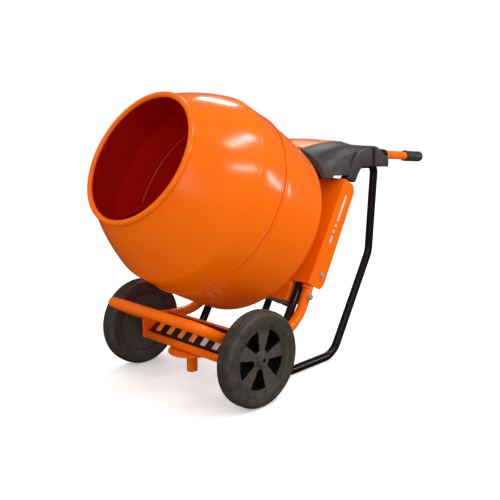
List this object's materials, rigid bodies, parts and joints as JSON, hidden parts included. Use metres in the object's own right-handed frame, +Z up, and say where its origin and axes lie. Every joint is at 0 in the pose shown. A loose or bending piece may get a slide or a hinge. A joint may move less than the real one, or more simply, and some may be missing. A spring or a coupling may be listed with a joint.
{
  "type": "portable concrete mixer",
  "caption": "Tip-up electric concrete mixer: orange drum on a leaning channel frame, with a nose hoop, transport wheels, bent-tube legs, push handles and a moulded hood.",
  "frame": {"origin": "on the floor, midway between the outermost points across, and front to back, of the whole mixer standing on its wheels and legs", "axes": "+Z up, -Y the way the drum's mouth faces, +Y towards the push handles, +X the operator's left"},
  "size_m": [0.598, 1.2137, 0.8751],
  "materials": {
    "orange_paint": "glossy orange powder coat",
    "black_paint": "glossy black powder coat",
    "hood_plastic": "charcoal moulded plastic, fine grain",
    "wheel_plastic": "black moulded plastic",
    "tyre_rubber": "solid rubber, matt grey-black",
    "grip_rubber": "moulded rubber",
    "zinc": "bright zinc plate",
    "steel": "machined steel",
    "cast_aluminium": "die-cast, satin",
    "iron": "cast, painted or oiled",
    "windings": "varnished copper windings on a laminated core",
    "decal_black": "printed film",
    "decal_orange": "printed film",
    "green_button": "moulded",
    "red_button": "moulded",
    "blue_plastic": "moulded"
  },
  "bodies": {
    "frame": {"axle": "steel", "axle_beam": "orange_paint", "axle_cap_left": "wheel_plastic", "axle_cap_right": "wheel_plastic", "beam_decal": "decal_black", "beam_gusset_left": "orange_paint", "beam_gusset_right": "orange_paint", "channel_body": "orange_paint", "channel_bolt_left": "zinc", "channel_bolt_right": "zinc", "drum_bearing": "steel", "drum_bearing_housing": "iron", "gearcase_body": "cast_aluminium", "gearcase_cover": "cast_aluminium", "grip_left": "grip_rubber", "grip_right": "grip_rubber", "handle_left": "orange_paint", "handle_right": "orange_paint", "handle_socket_left": "black_paint", "handle_socket_right": "black_paint", "hood": "hood_plastic", "hood_decal": "decal_orange", "lower_guard": "orange_paint", "mains_inlet": "blue_plastic", "motor_body": "cast_aluminium", "motor_end_shield": "cast_aluminium", "motor_fan_cowl": "hood_plastic", "motor_rear_shield": "cast_aluminium", "motor_stator": "windings", "nose_hoop": "orange_paint", "rail_bolt_left": "zinc", "rail_bolt_right": "zinc", "rail_plate_left": "zinc", "rail_plate_right": "zinc", "side_frame_left": "black_paint", "side_frame_right": "black_paint", "spigot_disc": "orange_paint", "spigot_tube": "orange_paint", "switch_box": "hood_plastic"},
    "drum": {"drum_front_cone": "orange_paint", "drum_rear_pan": "orange_paint", "mixing_blade_a": "orange_paint", "mixing_blade_b": "orange_paint", "drum_hub": "iron", "drum_shaft": "steel", "drum_nut": "zinc", "drum_gear": "steel"},
    "layshaft_b": {"layshaft_b": "steel", "layshaft_b_gear": "steel"},
    "layshaft_a": {"layshaft_a": "steel", "layshaft_a_gear": "steel"},
    "motor_spindle": {"motor_shaft": "steel", "motor_rotor": "iron", "motor_fan": "hood_plastic"},
    "wheel_left": {"tyre_left": "tyre_rubber", "wheel_centre_left": "wheel_plastic"},
    "wheel_right": {"tyre_right": "tyre_rubber", "wheel_centre_right": "wheel_plastic"},
    "start_button": {"start_button": "green_button"},
    "stop_button": {"stop_button": "red_button"}
  },
  "joints": [
    {"name": "drum_spin", "type": "hinge", "parent": "frame", "child": "drum", "pos_m": [0, -0.50986, 0.7037], "axis": [0, -0.8673, 0.4977], "continuous": true},
    {"name": "layshaft_b_spin", "type": "hinge", "parent": "frame", "child": "layshaft_b", "pos_m": [-0.055, 0.00979, 0.3234], "axis": [0, -0.8673, 0.4977], "continuous": true},
    {"name": "layshaft_a_spin", "type": "hinge", "parent": "frame", "child": "layshaft_a", "pos_m": [-0.0443, -0.01808, 0.27483], "axis": [0, -0.8673, 0.4977], "continuous": true},
    {"name": "motor_spin", "type": "hinge", "parent": "frame", "child": "motor_spindle", "pos_m": [0, 0.04252, 0.25988], "axis": [0, -0.8673, 0.4977], "continuous": true},
    {"name": "wheel_left_spin", "type": "hinge", "parent": "frame", "child": "wheel_left", "pos_m": [0.2653, -0.31486, 0.14], "axis": [1, 0, 0], "continuous": true},
    {"name": "wheel_right_spin", "type": "hinge", "parent": "frame", "child": "wheel_right", "pos_m": [-0.2653, -0.31486, 0.14], "axis": [1, 0, 0], "continuous": true},
    {"name": "start_press", "type": "slide", "parent": "frame", "child": "start_button", "axis": [0, -1, 0], "range_m": [0, 0.003], "stiffness_N_per_m": 400},
    {"name": "stop_press", "type": "slide", "parent": "frame", "child": "stop_button", "axis": [0, -1, 0], "range_m": [0, 0.003], "stiffness_N_per_m": 400}
  ],
  "couplings": [
    {"joint": "layshaft_b_spin", "follows": "drum_spin", "ratio": -4},
    {"joint": "layshaft_a_spin", "follows": "drum_spin", "ratio": 15},
    {"joint": "motor_spin", "follows": "drum_spin", "ratio": -56.25}
  ]
}
